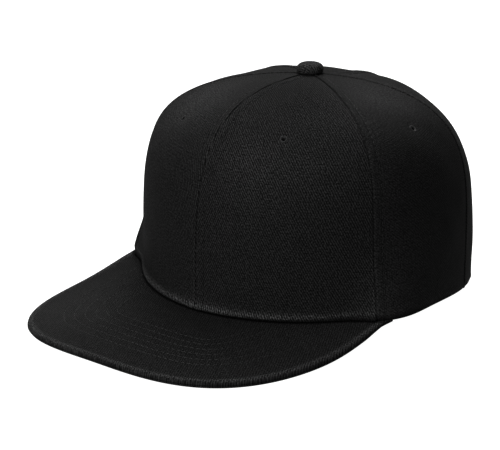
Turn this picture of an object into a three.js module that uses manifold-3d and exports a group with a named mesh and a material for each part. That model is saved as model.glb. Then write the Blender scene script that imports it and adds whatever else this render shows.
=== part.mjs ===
// A structured six-panel snapback cap with a flat peak, in millimetres.
// The wearer looks along -Y, +X is the wearer's left and +Z is up. While the pieces are made, height 0 is
// the front rim, where the peak joins. The finished cap is then set down with its lowest edge on the
// surface and its outline centred over the origin.
import * as THREE from 'three';
import { mergeVertices } from 'three/addons/utils/BufferGeometryUtils.js';
import Module from 'manifold-3d';

// Driving sizes of the crown, in millimetres
const HALF_WIDTH = 87;          // rim, centre to side
const FRONT_REACH = 80.6;       // rim, widest line to the front
const BACK_REACH = 108.5;       // rim, widest line to the back
const CROWN_HEIGHT = 106.3;     // front rim to the top
const APEX_SHIFT = 8.7;         // top lies behind the widest line
const PANEL_WALL = 1.8;
const SEAM_GAP = 0.4;
const SEAT_GAP = 0.3;           // between two pieces that rest on each other
const TOP_HOLE_RADIUS = 2.9;
const FLARE = 0.118;            // share by which the stiff peak pushes the crown out at its ends
const FLARE_HEIGHT = 21;
const FLARE_ANGLE = { front: 9, back: 17.5 };
const FACETING = 0.73;          // 0 is a smooth dome, 1 has flat panels near the top
const RIM_POWER = 1.89;         // 2 is an ellipse
const BACK_DIP = 4.2;           // the slack top sinks behind the button
const DIP_PLACE = 0.33;         // share of the way from the top out to the rim, seen from above
const DIP_POWER = 5;            // larger keeps the dip nearer the middle of the back

// Angles round the crown in degrees: -90 is the front, 0 the wearer's left and 90 the back
const SIDE_SEAM = -26.8;
const BACK_SEAM = 21.9;
const PEAK_END = -22.5;

// Powers of the crown's profile, larger is squarer, at the front, the side and the back
const SHOULDER = { front: 2.93, side: 1.95, back: 3.96 };
const UPRIGHT = { front: 4.07, side: 6.19, back: 1.4 };

// Rim height round the left half, in shares of the depth from the front rim to the surface below.
// at is the sine of the angle, slope is height per unit of at.
const REST_DEPTH = 9.2;
const RIM = [
  { at: -1, height: 0, slope: 0.16 },
  { at: -0.45, height: 0.24, slope: 0.54 },
  { at: 0.37, height: -0.31, slope: -1.3 },
  { at: 0.86, height: -1, slope: 0 },
  { at: 1, height: -1, slope: 0 },
];

// Eyelets, one in each panel of the left half. share is the way up the panel, 0 rim to 1 top.
const EYELET_RADIUS = 1.6;
const EYELETS = {
  front: { angle: -60.5, share: 0.44 },
  side: { angle: 1.8, share: 0.385 },
  back: { angle: 56, share: 0.5 },
};

// Driving sizes of the peak
const PEAK_SIDE_INSET = 2.7;    // its sides lie inside its ends by this much
const PEAK_LENGTH = 73.5;       // front rim to the front edge
const PEAK_SIDE_LENGTH = 7.4;   // straight stretch beside the crown's end
const PEAK_SQUARENESS = 3;
const PEAK_BOW = 1.67;          // how far the sides droop, against how far the front droops
const PEAK_END_EASE = 30;       // stretch of edge that runs up to the rim at each end
const PEAK_COVER = 1.4;         // thickness of the top and of the under cover
const PEAK_END_COVER = 0.7;     // the same where the peak runs into the rim
const PEAK_END_TAPER = 22;      // stretch of edge over which the covers thin out

// Driving sizes of the button, the back opening and the snap strap
const BUTTON_RADIUS = 7;
const BUTTON_HEIGHT = 5.6;
const BUTTON_EDGE = 1.6;        // upright edge below the dome
const SHANK_RADIUS = 1.9;
const SHANK_LENGTH = 2.6;
const OPENING_HALF_WIDTH = 35;
const OPENING_HEIGHT = 48;      // surface to the top of the arch
const OPENING_SPRING = 12;      // surface to where the arch starts to curve
const STRAP_HEIGHT = 20;
const STRAP_THICKNESS = 1.4;
const STRAP_LAP = 11;           // hidden stretch behind the panel at each side
const STRAP_GAP = 0.5;          // between the strap and the panels that it lies against

// Fineness of the faceted surfaces, and of the sampling that works out slopes and even spacing
const PANEL_ROWS = 13;
const PANEL_COLUMNS = 11;
const PEAK_ROWS = 6;
const PEAK_COLUMNS = 60;
const STRAP_COLUMNS = 24;
const STRAP_ROWS = 4;
const ROUND_SEGMENTS = 32;
const DOME_STEPS = 8;
const OUTLINE_STEPS = 120;
const SPACING_STEPS = 400;
const HALVINGS = 40;
const SLOPE_TURN = 0.4;         // degrees to each side
const SLOPE_CLIMB = 0.002;      // share of the way up
const WELD = 1e-3;              // vertices nearer than this are one

const FRONT = -90;
const BACK = 90;
const ROUND_TO_FRONT = 270;
const cloth = { color: 0x1b1b1d, roughness: 0.93, metalness: 0 };
const plastic = { color: 0x161617, roughness: 0.45, metalness: 0 };
const radians = THREE.MathUtils.degToRad;

// A value blended round the crown from its front, side and back values.
function around(values, angle) {
  const along = Math.sin(radians(angle));
  const lean = (values.back - values.front) / 2;
  const bow = (values.back + values.front) / 2 - values.side;
  return values.side + lean * along + bow * along * along;
}

// The angle on the left half that mirrors any angle from the front round to the front again.
const folded = (angle) => (angle <= BACK ? angle : 2 * BACK - angle);

// Rim height by a cubic between the two table rows that the angle lies between.
function rimHeight(angle) {
  const along = Math.sin(radians(angle));
  const next = Math.max(1, RIM.findIndex((row) => row.at >= along - 1e-9));
  const [low, high] = [RIM[next - 1], RIM[next]];
  const span = high.at - low.at;
  const t = (along - low.at) / span;
  const ease = t * t * (3 - 2 * t);
  const leaving = t * (1 - t) * (1 - t) * span * low.slope;
  const arriving = t * t * (t - 1) * span * high.slope;
  return REST_DEPTH * (low.height + (high.height - low.height) * ease + leaving + arriving);
}

const mirror = (angle) => 2 * BACK - angle;
const SEAMS = [FRONT, SIDE_SEAM, BACK_SEAM, BACK, mirror(BACK_SEAM), mirror(SIDE_SEAM), ROUND_TO_FRONT];

// How far a panel's middle lies inside the round form: a chord between its seams.
function chordShare(angle) {
  const next = Math.max(1, SEAMS.findIndex((seam) => seam >= angle));
  const middle = (SEAMS[next - 1] + SEAMS[next]) / 2;
  const half = (SEAMS[next] - SEAMS[next - 1]) / 2;
  return Math.cos(radians(half)) / Math.cos(radians(angle - middle));
}

// The crown's outer surface: a superellipse rim drawn in towards the top by a squarish profile.
function crownPoint(angle, share) {
  const turn = (share * Math.PI) / 2;
  const inward = Math.max(0, Math.cos(turn)) ** (2 / around(SHOULDER, angle));
  const upward = Math.sin(turn) ** (2 / around(UPRIGHT, angle));
  const base = rimHeight(angle);
  const [across, along] = [Math.cos(radians(angle)), Math.sin(radians(angle))];
  const place = (inward / DIP_PLACE) ** 2;
  const sink = place * Math.exp(1 - place) * ((1 - inward) / (1 - DIP_PLACE));
  const dip = BACK_DIP * Math.max(0, along) ** DIP_POWER * sink;
  const height = base + (CROWN_HEIGHT - base) * upward - dip;
  const corner = (Math.abs(across) ** RIM_POWER + Math.abs(along) ** RIM_POWER) ** (-1 / RIM_POWER);
  const facet = 1 + FACETING * (1 - inward * inward) * (chordShare(angle) - 1);
  const fromPeakEnd = folded(angle) - PEAK_END;
  const fromEnd = fromPeakEnd / (fromPeakEnd < 0 ? FLARE_ANGLE.front : FLARE_ANGLE.back);
  const flare = 1 + FLARE * Math.exp(-fromEnd * fromEnd) * Math.exp(-((height / FLARE_HEIGHT) ** 2));
  const spread = corner * inward * facet * flare;
  const reach = along < 0 ? FRONT_REACH : BACK_REACH;
  return new THREE.Vector3(
    HALF_WIDTH * across * spread,
    APEX_SHIFT * (1 - inward) + reach * along * spread,
    height,
  );
}

// The way up the crown at which its surface reaches a height.
function shareAtHeight(angle, height) {
  const base = rimHeight(angle);
  const part = Math.max(0, (height - base) / (CROWN_HEIGHT - base));
  return (Math.asin(Math.min(1, part ** (around(UPRIGHT, angle) / 2))) * 2) / Math.PI;
}

// The way up the crown at which the hole for the button's shank starts.
function shareAtTopHole(angle) {
  const edge = crownPoint(angle, 0);
  const inward = TOP_HOLE_RADIUS / Math.hypot(edge.x, edge.y);
  return (Math.acos(inward ** (around(SHOULDER, angle) / 2)) * 2) / Math.PI;
}

// Outward normal. level 1 turns it level, which gives the wall a flat edge at the rim.
function crownNormal(angle, share, level = 0) {
  const [before, after] = [Math.max(FRONT, angle - SLOPE_TURN), Math.min(ROUND_TO_FRONT, angle + SLOPE_TURN)];
  const [below, above] = [Math.max(0, share - SLOPE_CLIMB), Math.min(1, share + SLOPE_CLIMB)];
  const side = crownPoint(after, share).sub(crownPoint(before, share));
  const rise = crownPoint(angle, above).sub(crownPoint(angle, below));
  const normal = side.cross(rise).normalize();
  normal.z *= 1 - level;
  if (angle === FRONT || angle === ROUND_TO_FRONT) normal.x = 0;
  return normal.normalize();
}

// A closed solid between an outer and an inner grid of points, both rows by columns.
function closedSheet(outer, inner) {
  const [rows, columns] = [outer.length, outer[0].length];
  const positions = [outer, inner].flat(2).flatMap((point) => point.toArray());
  const index = [];
  const outside = (row, column) => row * columns + column;
  const inside = (row, column) => (rows + row) * columns + column;
  const quad = (a, b, c, d) => index.push(a, b, c, a, c, d);
  const [top, end] = [rows - 1, columns - 1];
  for (let row = 0; row < top; row++) {
    for (let column = 0; column < end; column++) {
      const [up, on] = [row + 1, column + 1];
      quad(outside(row, column), outside(row, on), outside(up, on), outside(up, column));
      quad(inside(row, column), inside(up, column), inside(up, on), inside(row, on));
    }
  }
  for (let column = 0; column < end; column++) {
    const on = column + 1;
    quad(outside(0, column), inside(0, column), inside(0, on), outside(0, on));
    quad(outside(top, column), outside(top, on), inside(top, on), inside(top, column));
  }
  for (let row = 0; row < top; row++) {
    const up = row + 1;
    quad(outside(row, 0), outside(up, 0), inside(up, 0), inside(row, 0));
    quad(outside(row, end), inside(row, end), inside(up, end), outside(up, end));
  }
  return weld(positions, index);
}

// Merges shared vertices and drops the triangles that this leaves without an area.
function weld(positions, index) {
  const loose = new THREE.BufferGeometry();
  loose.setAttribute('position', new THREE.Float32BufferAttribute(positions, 3));
  loose.setIndex(index);
  const merged = mergeVertices(loose, WELD);
  const corners = merged.index.array;
  const kept = [];
  for (let i = 0; i < corners.length; i += 3) {
    const [a, b, c] = corners.slice(i, i + 3);
    if (a !== b && b !== c && c !== a) kept.push(a, b, c);
  }
  merged.setIndex(kept);
  return merged;
}

const wasm = await Module();
wasm.setup();

function toSolid(geometry) {
  const plain = geometry.clone();
  plain.deleteAttribute('normal');
  plain.deleteAttribute('uv');
  const merged = mergeVertices(plain, WELD);
  const vertProperties = new Float32Array(merged.attributes.position.array);
  const triVerts = new Uint32Array(merged.index.array);
  return new wasm.Manifold(new wasm.Mesh({ numProp: 3, vertProperties, triVerts }));
}

function toGeometry(solid) {
  const mesh = solid.getMesh();
  const geometry = new THREE.BufferGeometry();
  geometry.setAttribute('position', new THREE.Float32BufferAttribute(mesh.vertProperties, 3));
  geometry.setIndex(Array.from(mesh.triVerts));
  return geometry;
}

function cut(geometry, cutters) {
  let solid = toSolid(geometry);
  for (const cutter of cutters) solid = solid.subtract(toSolid(cutter));
  return toGeometry(solid);
}

// Shares for a panel's rows, spaced evenly along its middle line.
function evenShares(angle, top) {
  const distances = [0];
  for (let i = 1; i <= SPACING_STEPS; i++) {
    const here = crownPoint(angle, (top * i) / SPACING_STEPS);
    const before = crownPoint(angle, (top * (i - 1)) / SPACING_STEPS);
    distances.push(distances[i - 1] + here.distanceTo(before));
  }
  const total = distances[SPACING_STEPS];
  return Array.from({ length: PANEL_ROWS + 1 }, (_, row) => {
    const wanted = (total * row) / PANEL_ROWS;
    const reached = distances.findIndex((distance) => distance >= wanted);
    return (reached < 0 ? SPACING_STEPS : reached) / SPACING_STEPS;
  });
}

// One crown panel between two seams, as outer and inner grids with half the seam gap left at each side.
function panelGeometry(from, to) {
  const middle = (from + to) / 2;
  const rows = evenShares(middle, shareAtTopHole(middle));
  const outer = [];
  const inner = [];
  for (const part of rows) {
    const share = (angle) => part * shareAtTopHole(angle);
    const perDegree = (angle) => {
      const [near, far] = [crownPoint(angle - 0.5, share(angle)), crownPoint(angle + 0.5, share(angle))];
      return near.distanceTo(far);
    };
    const start = from + SEAM_GAP / 2 / perDegree(from);
    const end = to - SEAM_GAP / 2 / perDegree(to);
    const outerRow = [];
    const innerRow = [];
    for (let column = 0; column <= PANEL_COLUMNS; column++) {
      const t = column / PANEL_COLUMNS;
      const angle = start + (end - start) * t;
      const seam = from + (to - from) * t;
      const point = crownPoint(angle, share(angle));
      const level = Math.max(0, 1 - (point.z - rimHeight(angle)) / FLARE_HEIGHT);
      outerRow.push(point);
      innerRow.push(point.clone().addScaledVector(crownNormal(seam, share(seam), level), -PANEL_WALL));
    }
    outer.push(outerRow);
    inner.push(innerRow);
  }
  return closedSheet(outer, inner);
}

// A round cutter through the wall at an eyelet.
function eyeletCutter({ angle, share }) {
  const point = crownPoint(angle, share);
  const cutter = new THREE.CylinderGeometry(EYELET_RADIUS, EYELET_RADIUS, 8 * PANEL_WALL, ROUND_SEGMENTS / 2);
  const cylinderAxis = new THREE.Vector3(0, 1, 0);
  const turn = new THREE.Quaternion().setFromUnitVectors(cylinderAxis, crownNormal(angle, share));
  return cutter.applyQuaternion(turn).translate(point.x, point.y, point.z);
}

// The half-moon opening above the snap strap, as a cutter through the back wall only.
function openingCutter() {
  const outline = new THREE.Shape();
  const arch = OPENING_HEIGHT - OPENING_SPRING;
  outline.moveTo(-OPENING_HALF_WIDTH, -OPENING_SPRING);
  outline.lineTo(OPENING_HALF_WIDTH, -OPENING_SPRING);
  outline.lineTo(OPENING_HALF_WIDTH, OPENING_SPRING);
  outline.absellipse(0, OPENING_SPRING, OPENING_HALF_WIDTH, arch, 0, Math.PI, false);
  outline.lineTo(-OPENING_HALF_WIDTH, -OPENING_SPRING);
  const options = { depth: BACK_REACH, bevelEnabled: false, curveSegments: ROUND_SEGMENTS };
  const cutter = new THREE.ExtrudeGeometry(outline, options).rotateX(Math.PI / 2);
  const start = BACK_REACH / 3;
  return cutter.translate(0, start + options.depth, -REST_DEPTH);
}

// The peak's top outline, from the left end round the front to the right end. It droops forwards and
// sideways until its lowest stretch rests on the surface, and runs up to the rim at its ends.
function peakOutline() {
  const end = crownPoint(PEAK_END, 0);
  const halfWidth = end.x - PEAK_SIDE_INSET;
  const shoulder = end.y - PEAK_SIDE_LENGTH;
  const depth = shoulder + FRONT_REACH + PEAK_LENGTH;
  const points = [new THREE.Vector3(end.x, end.y, 0)];
  for (let i = 0; i <= OUTLINE_STEPS; i++) {
    const turn = (Math.PI * i) / OUTLINE_STEPS;
    const across = Math.sign(Math.cos(turn)) * Math.abs(Math.cos(turn)) ** (2 / PEAK_SQUARENESS);
    const along = Math.abs(Math.sin(turn)) ** (2 / PEAK_SQUARENESS);
    points.push(new THREE.Vector3(halfWidth * across, shoulder - depth * along, 0));
  }
  points.push(new THREE.Vector3(-end.x, end.y, 0));
  const rim = rimHeight(PEAK_END);
  const fromEnd = ({ x, y }) => Math.hypot(Math.abs(x) - end.x, y - end.y);
  const nearEnd = (point) => Math.exp(-((fromEnd(point) / PEAK_END_EASE) ** 2));
  const droop = ({ x, y }) => -(y + FRONT_REACH) / PEAK_LENGTH + PEAK_BOW * (x / halfWidth) ** 2;
  const fall = (point) => droop(point) - droop(end) * nearEnd(point);
  const room = REST_DEPTH - 2 * PEAK_COVER - 2 * SEAT_GAP;
  const falling = points.filter((point) => fall(point) > 0);
  const perFall = Math.min(...falling.map((point) => (room + rim * nearEnd(point)) / fall(point)));
  for (const point of points) point.z = rim * nearEnd(point) - fall(point) * perFall - SEAT_GAP;
  const curve = new THREE.CurvePath();
  for (let i = 1; i < points.length; i++) curve.add(new THREE.LineCurve3(points[i - 1], points[i]));
  return curve.getSpacedPoints(PEAK_COLUMNS);
}

// One peak cover: straight lines from under the crown's rim out to the outline. layer 0 is the top cover
// and 1 the under cover.
function peakCoverGeometry(layer) {
  const outline = peakOutline().reverse();
  const end = outline[0];
  const top = [];
  for (let row = 0; row <= PEAK_ROWS + 1; row++) top.push([]);
  outline.forEach((edge, column) => {
    const across = (2 * column) / PEAK_COLUMNS - 1;
    const angle = FRONT + (PEAK_END - FRONT) * Math.abs(across);
    const rim = crownPoint(angle, 0);
    const tucked = rim.clone().addScaledVector(crownNormal(angle, 0, 1), -PANEL_WALL);
    for (const point of [rim, tucked]) {
      point.x *= Math.sign(across);
      point.z = rimHeight(angle) - SEAT_GAP;
    }
    for (let row = 0; row <= PEAK_ROWS; row++) top[row].push(edge.clone().lerp(rim, row / PEAK_ROWS));
    top[PEAK_ROWS + 1].push(tucked);
  });
  const thickness = outline.map((edge) => {
    const away = Math.hypot(Math.abs(edge.x) - Math.abs(end.x), edge.y - end.y) / PEAK_END_TAPER;
    return THREE.MathUtils.lerp(PEAK_END_COVER, PEAK_COVER, THREE.MathUtils.smoothstep(away, 0, 1));
  });
  const lowered = (share, gap) => top.map((row) => row.map((point, column) => (
    point.clone().setZ(point.z - share * thickness[column] - gap)
  )));
  return closedSheet(lowered(layer, layer * SEAT_GAP), lowered(layer + 1, layer * SEAT_GAP));
}

// The covered button: a dome on an upright edge, with a shank through the crown's top hole.
function buttonGeometry() {
  const profile = [new THREE.Vector2(0, -SHANK_LENGTH)];
  profile.push(new THREE.Vector2(SHANK_RADIUS, -SHANK_LENGTH));
  profile.push(new THREE.Vector2(SHANK_RADIUS, 0));
  profile.push(new THREE.Vector2(BUTTON_RADIUS, 0));
  for (let i = 0; i <= DOME_STEPS; i++) {
    const turn = (Math.PI / 2) * (i / DOME_STEPS);
    const height = BUTTON_EDGE + (BUTTON_HEIGHT - BUTTON_EDGE) * Math.sin(turn);
    profile.push(new THREE.Vector2(i === DOME_STEPS ? 0 : BUTTON_RADIUS * Math.cos(turn), height));
  }
  const dome = new THREE.LatheGeometry(profile, ROUND_SEGMENTS);
  return dome.rotateX(Math.PI / 2).translate(0, APEX_SHIFT, CROWN_HEIGHT + SEAT_GAP);
}

// The angle on the back left quarter of the rim at which it is a given distance from the middle plane.
function angleAtWidth(width) {
  let [wide, narrow] = [0, BACK];
  for (let i = 0; i < HALVINGS; i++) {
    const middle = (wide + narrow) / 2;
    if (crownPoint(middle, 0).x > width) wide = middle;
    else narrow = middle;
  }
  return narrow;
}

// The plain strap that closes the back opening, lying inside the back panels.
function strapGeometry() {
  const half = BACK - angleAtWidth(OPENING_HALF_WIDTH + STRAP_LAP);
  const outer = [];
  const inner = [];
  for (let row = 0; row <= STRAP_ROWS; row++) {
    const height = (STRAP_HEIGHT * row) / STRAP_ROWS - REST_DEPTH;
    const outerRow = [];
    const innerRow = [];
    for (let column = 0; column <= STRAP_COLUMNS; column++) {
      const angle = BACK - half + (2 * half * column) / STRAP_COLUMNS;
      const share = shareAtHeight(angle, height);
      const point = crownPoint(angle, share).setZ(height);
      const normal = crownNormal(angle, share, 1);
      outerRow.push(point.clone().addScaledVector(normal, -PANEL_WALL - STRAP_GAP));
      innerRow.push(point.clone().addScaledVector(normal, -PANEL_WALL - STRAP_GAP - STRAP_THICKNESS));
    }
    outer.push(outerRow);
    inner.push(innerRow);
  }
  return closedSheet(outer, inner);
}

function addMesh(group, name, geometry, finish) {
  const mesh = new THREE.Mesh(geometry, new THREE.MeshStandardMaterial(finish));
  mesh.name = name;
  group.add(mesh);
}

const mirrored = ({ angle, share }) => ({ angle: mirror(angle), share });

const cap = new THREE.Group();
const opening = openingCutter();
const panels = [
  { name: 'front_panel', from: FRONT, to: SIDE_SEAM, eyelet: EYELETS.front, cutters: [] },
  { name: 'side_panel', from: SIDE_SEAM, to: BACK_SEAM, eyelet: EYELETS.side, cutters: [] },
  { name: 'back_panel', from: BACK_SEAM, to: BACK, eyelet: EYELETS.back, cutters: [opening] },
];
for (const { name, from, to, eyelet, cutters } of panels) {
  const left = panelGeometry(from, to);
  const right = panelGeometry(mirror(to), mirror(from));
  addMesh(cap, `${name}_left`, cut(left, [eyeletCutter(eyelet), ...cutters]), cloth);
  addMesh(cap, `${name}_right`, cut(right, [eyeletCutter(mirrored(eyelet)), ...cutters]), cloth);
}
addMesh(cap, 'button', toGeometry(toSolid(buttonGeometry())), cloth);
addMesh(cap, 'peak_top_cover', peakCoverGeometry(0), cloth);
addMesh(cap, 'peak_under_cover', peakCoverGeometry(1), cloth);
addMesh(cap, 'snap_strap', strapGeometry(), plastic);

// The cap set down on the surface, centred over the origin
const bounds = new THREE.Box3().setFromObject(cap);
cap.position.set(0, -(bounds.min.y + bounds.max.y) / 2, -bounds.min.z);

const model = new THREE.Group();
model.add(cap);

export default model;
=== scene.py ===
"""Visual model of a structured six-panel snapback cap with a flat peak.

All shapes are worked out in millimetres in the maker's frame: the wearer looks along -Y, +X is the wearer's
left, +Z is up and height 0 is the front rim, where the peak joins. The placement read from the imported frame
then sets each piece down in metres.
"""

import logging
import math
from dataclasses import dataclass, field
from enum import Enum

import bpy
import numpy as np
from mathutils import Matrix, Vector

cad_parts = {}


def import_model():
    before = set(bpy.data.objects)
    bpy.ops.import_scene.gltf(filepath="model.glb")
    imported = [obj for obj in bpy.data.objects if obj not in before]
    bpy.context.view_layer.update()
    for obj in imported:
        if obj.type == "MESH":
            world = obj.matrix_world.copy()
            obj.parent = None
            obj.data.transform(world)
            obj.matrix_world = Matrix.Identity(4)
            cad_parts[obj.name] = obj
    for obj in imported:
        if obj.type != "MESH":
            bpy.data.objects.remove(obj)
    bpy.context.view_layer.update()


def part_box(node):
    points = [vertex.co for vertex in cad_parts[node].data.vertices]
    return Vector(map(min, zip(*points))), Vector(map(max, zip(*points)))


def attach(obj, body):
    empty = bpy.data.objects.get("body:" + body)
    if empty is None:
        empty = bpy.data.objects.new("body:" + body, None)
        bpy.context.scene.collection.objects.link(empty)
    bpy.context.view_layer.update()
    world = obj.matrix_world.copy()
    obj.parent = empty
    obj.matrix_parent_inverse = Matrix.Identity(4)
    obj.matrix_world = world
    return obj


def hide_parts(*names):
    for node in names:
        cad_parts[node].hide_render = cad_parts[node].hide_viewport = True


LOG = logging.getLogger("snapback_cap")
MM = 0.001
BACK_SWEEP = np.linspace(90.0, 40.0, 260)


# Shells: arrays of points and faces, and the sweeps that make them


@dataclass
class Shell:
    """A closed surface: points in millimetres, faces as vertex numbers, and a cloth position per point.

    The cloth position is across and along in millimetres. Where light or shade is painted into the cloth's
    tone, a third number says how: up to 1 towards a painted highlight, down to -1 towards painted shade.
    """

    points: np.ndarray
    quads: np.ndarray
    cloth: np.ndarray
    triangles: np.ndarray = field(default_factory=lambda: np.zeros((0, 3), dtype=int))

    @staticmethod
    def joined(shells: list["Shell"]) -> "Shell":
        """Several shells as one set of arrays, with the vertex numbers moved along.

        Args:
            shells: The shells.

        Returns:
            One shell that holds them all.
        """
        starts = np.cumsum([0] + [len(shell.points) for shell in shells[:-1]])
        return Shell(
            np.concatenate([shell.points for shell in shells]),
            np.concatenate([shell.quads + start for shell, start in zip(shells, starts)]),
            np.concatenate([shell.cloth for shell in shells]),
            np.concatenate([shell.triangles + start for shell, start in zip(shells, starts)]),
        )


def grid_quads(rows: int, columns: int, wrap: bool = False) -> np.ndarray:
    """Quads of a grid whose rows run upwards and whose columns run to the right, seen from outside.

    Args:
        rows: Number of rows of points.
        columns: Number of columns of points.
        wrap: Whether the last column joins the first.

    Returns:
        Vertex numbers, one row for each quad.
    """
    row = np.arange(rows - 1)[:, None]
    column = np.arange(columns if wrap else columns - 1)[None, :]
    on = (column + 1) % columns
    low, high = row * columns, (row + 1) * columns
    corners = [low + column, low + on, high + on, high + column]
    return np.stack(np.broadcast_arrays(*corners), axis=-1).reshape(-1, 4)


def closed_sheet(outer: np.ndarray, inner: np.ndarray, cloth: np.ndarray) -> Shell:
    """A closed wall between two grids of points, with a strip of quads round its four sides.

    Args:
        outer: Points of the outer face, rows by columns by 3.
        inner: Points of the inner face, of the same shape.
        cloth: Cloth positions, rows by columns by 2 or 3.

    Returns:
        The closed shell.
    """
    rows, columns = outer.shape[:2]
    face = grid_quads(rows, columns)
    number = np.arange(rows * columns).reshape(rows, columns)
    border = np.concatenate([number[0, :], number[1:, -1], number[-1, -2::-1], number[-2:0:-1, 0]])
    ahead = np.roll(border, -1)
    far = rows * columns
    strip = np.stack([ahead, border, border + far, ahead + far], axis=-1)
    return Shell(
        np.concatenate([outer.reshape(-1, 3), inner.reshape(-1, 3)]),
        np.concatenate([face, face[:, ::-1] + far, strip]),
        np.concatenate([cloth.reshape(rows * columns, -1)] * 2),
    )


def closed_tube(rings: np.ndarray, cloth: np.ndarray) -> Shell:
    """A closed tube through rings of points, each end closed by a fan to its ring's middle.

    Args:
        rings: Points, rings by points round by 3, each ring turning anticlockwise seen against the path.
        cloth: Cloth positions, rings by points round by 2.

    Returns:
        The closed shell.
    """
    count, around = rings.shape[:2]
    middles = rings[[0, -1]].mean(axis=1)
    first, last = count * around, count * around + 1
    here = np.arange(around)
    on = (here + 1) % around
    top = (count - 1) * around
    fans = np.concatenate([
        np.stack([on, here, np.full(around, first)], axis=-1),
        np.stack([here + top, on + top, np.full(around, last)], axis=-1),
    ])
    return Shell(
        np.concatenate([rings.reshape(-1, 3), middles]),
        grid_quads(count, around, wrap=True),
        np.concatenate([cloth.reshape(-1, 2), cloth[[0, -1]].mean(axis=1)]),
        fans,
    )


def unit(vectors: np.ndarray) -> np.ndarray:
    """The vectors at length one."""
    return vectors / np.maximum(np.linalg.norm(vectors, axis=-1, keepdims=True), 1e-12)


def lengths_along(points: np.ndarray, axis: int) -> np.ndarray:
    """Distance from the first point, added up along one axis of an array of points.

    Args:
        points: Points, the last axis their coordinates.
        axis: The axis to go along.

    Returns:
        Distances, of the shape of the array without its last axis.
    """
    steps = np.linalg.norm(np.diff(points, axis=axis), axis=-1)
    start = np.zeros_like(np.take(steps, [0], axis=axis))
    return np.concatenate([start, np.cumsum(steps, axis=axis)], axis=axis)


def read_along(table: np.ndarray, reached: np.ndarray, at: np.ndarray) -> np.ndarray:
    """Rows of a table at distances along its path, given how far along each row is."""
    return np.stack([np.interp(at, reached, table[:, i]) for i in range(3)], axis=-1)


def bell(distance: np.ndarray, width: float) -> np.ndarray:
    """A smooth bump: exp(-(distance / width) squared), 1 at distance 0."""
    return np.exp(-((distance / width) ** 2))


def smooth_step(value: np.ndarray, low: float, high: float) -> np.ndarray:
    """0 below low, 1 above high and 3t^2 - 2t^3 between."""
    t = np.clip((value - low) / (high - low), 0.0, 1.0)
    return t * t * (3.0 - 2.0 * t)


def crossing(values: np.ndarray, wanted: float) -> tuple[np.ndarray, np.ndarray]:
    """Where each row of a rising table first reaches a value.

    Args:
        values: Rows of numbers that rise from left to right.
        wanted: The value to reach.

    Returns:
        The fractional column for each row, and whether the row reaches the value at all.
    """
    below = (values < wanted).sum(axis=1)
    reached = (below > 0) & (below < values.shape[1])
    high = np.clip(below, 1, values.shape[1] - 1)
    row = np.arange(len(values))
    low_value, high_value = values[row, high - 1], values[row, high]
    part = (wanted - low_value) / np.maximum(high_value - low_value, 1e-9)
    return high - 1 + np.clip(part, 0.0, 1.0), reached


def sampled(grid: np.ndarray, columns: np.ndarray) -> np.ndarray:
    """Each row of a grid read at its own fractional column, by straight interpolation.

    Args:
        grid: Rows of points.
        columns: A fractional column for each row.

    Returns:
        One point for each row.
    """
    low = np.clip(np.floor(columns).astype(int), 0, grid.shape[1] - 2)
    part = (columns - low)[:, None]
    row = np.arange(len(grid))
    return grid[row, low] * (1.0 - part) + grid[row, low + 1] * part


# Shader maths and finishes


class Value:
    """A shader socket that adds Math nodes when it is used in an expression."""

    def __init__(self, shader: "Shader", socket: bpy.types.NodeSocket) -> None:
        """Wraps one output socket of a shader's tree."""
        self.shader = shader
        self.socket = socket

    def _math(self, operation: str, first: "Value | float", second: "Value | float" = 0.0) -> "Value":
        """A Math node on two values or numbers."""
        node = self.shader.node("ShaderNodeMath", {"operation": operation}, {0: first, 1: second})
        return Value(self.shader, node.outputs[0])

    def __add__(self, other: "Value | float") -> "Value":
        """self + other."""
        return self._math("ADD", self, other)

    def __sub__(self, other: "Value | float") -> "Value":
        """self - other."""
        return self._math("SUBTRACT", self, other)

    def __rsub__(self, other: "Value | float") -> "Value":
        """other - self."""
        return self._math("SUBTRACT", other, self)

    def __mul__(self, other: "Value | float") -> "Value":
        """self * other."""
        return self._math("MULTIPLY", self, other)

    def __pow__(self, power: float) -> "Value":
        """self ** power."""
        return self._math("POWER", self, power)

    __radd__ = __add__
    __rmul__ = __mul__

    def wave(self) -> "Value":
        """A wave between 0 and 1 with one crest for each unit of this value."""
        return self._math("SINE", self * (2.0 * math.pi)) * 0.5 + 0.5

    def floor(self) -> "Value":
        """The whole number below."""
        return self._math("FLOOR", self)


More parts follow.
